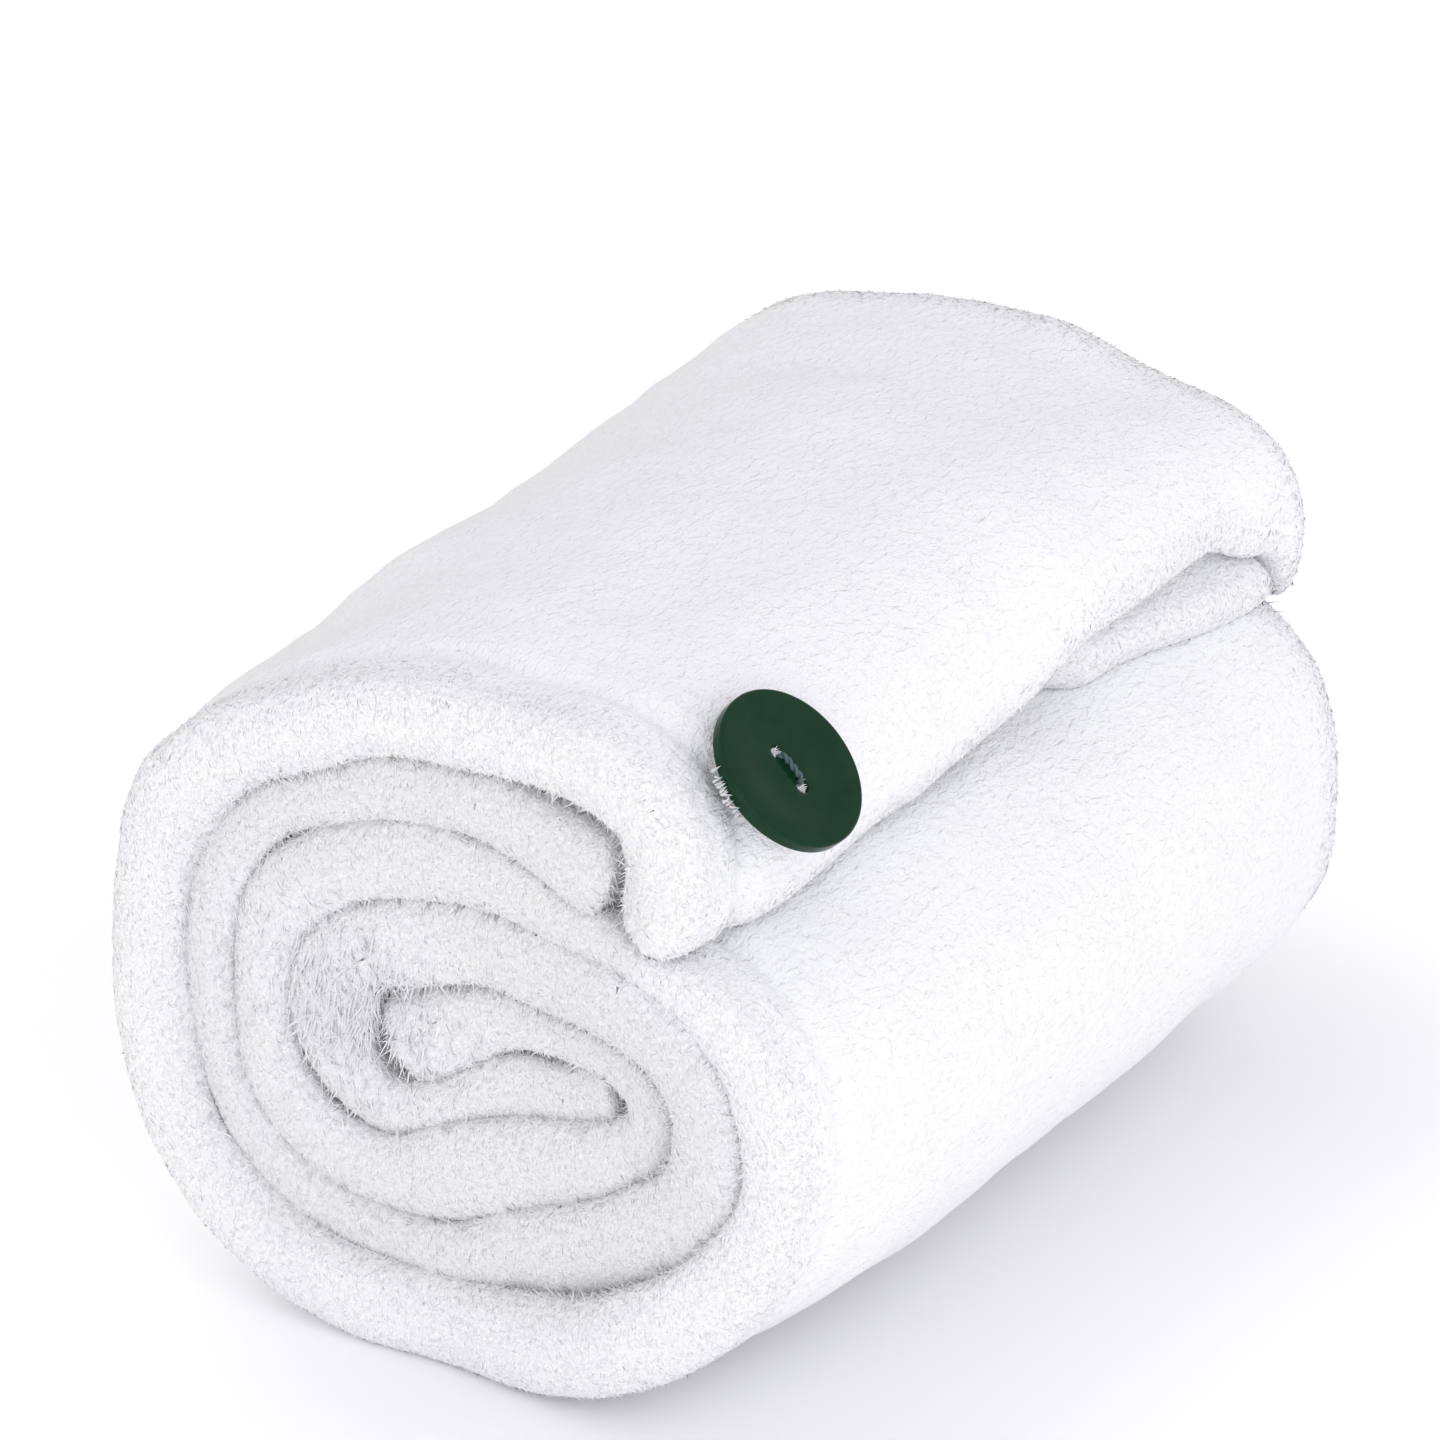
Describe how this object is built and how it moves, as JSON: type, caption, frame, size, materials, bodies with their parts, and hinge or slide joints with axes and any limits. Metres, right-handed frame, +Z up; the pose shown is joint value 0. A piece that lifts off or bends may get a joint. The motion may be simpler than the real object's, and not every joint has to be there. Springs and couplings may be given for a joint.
{
  "type": "rolled-up hair towel",
  "caption": "Plush hair-drying towel wrap of soft fleece panels, rolled up on its side, with a flat button by the free edge of its flap.",
  "frame": {"origin": "on the surface that the roll lies on, under the middle of its box", "axes": "+Z up; +Y along the roll from the end that the button is nearer to towards the other; +X towards the side that the flap's free edge and the button face"},
  "size_m": [0.137, 0.171, 0.1233],
  "materials": {
    "fleece": "white coral fleece with a soft pile",
    "inner_fleece": "white coral fleece with a soft pile",
    "button": "glossy dark green resin",
    "thread": "grey-green sewing thread"
  },
  "bodies": {
    "root": {"outer_panel": "fleece", "inner_panel": "inner_fleece", "button": "button", "button_thread": "thread"}
  },
  "joints": []
}
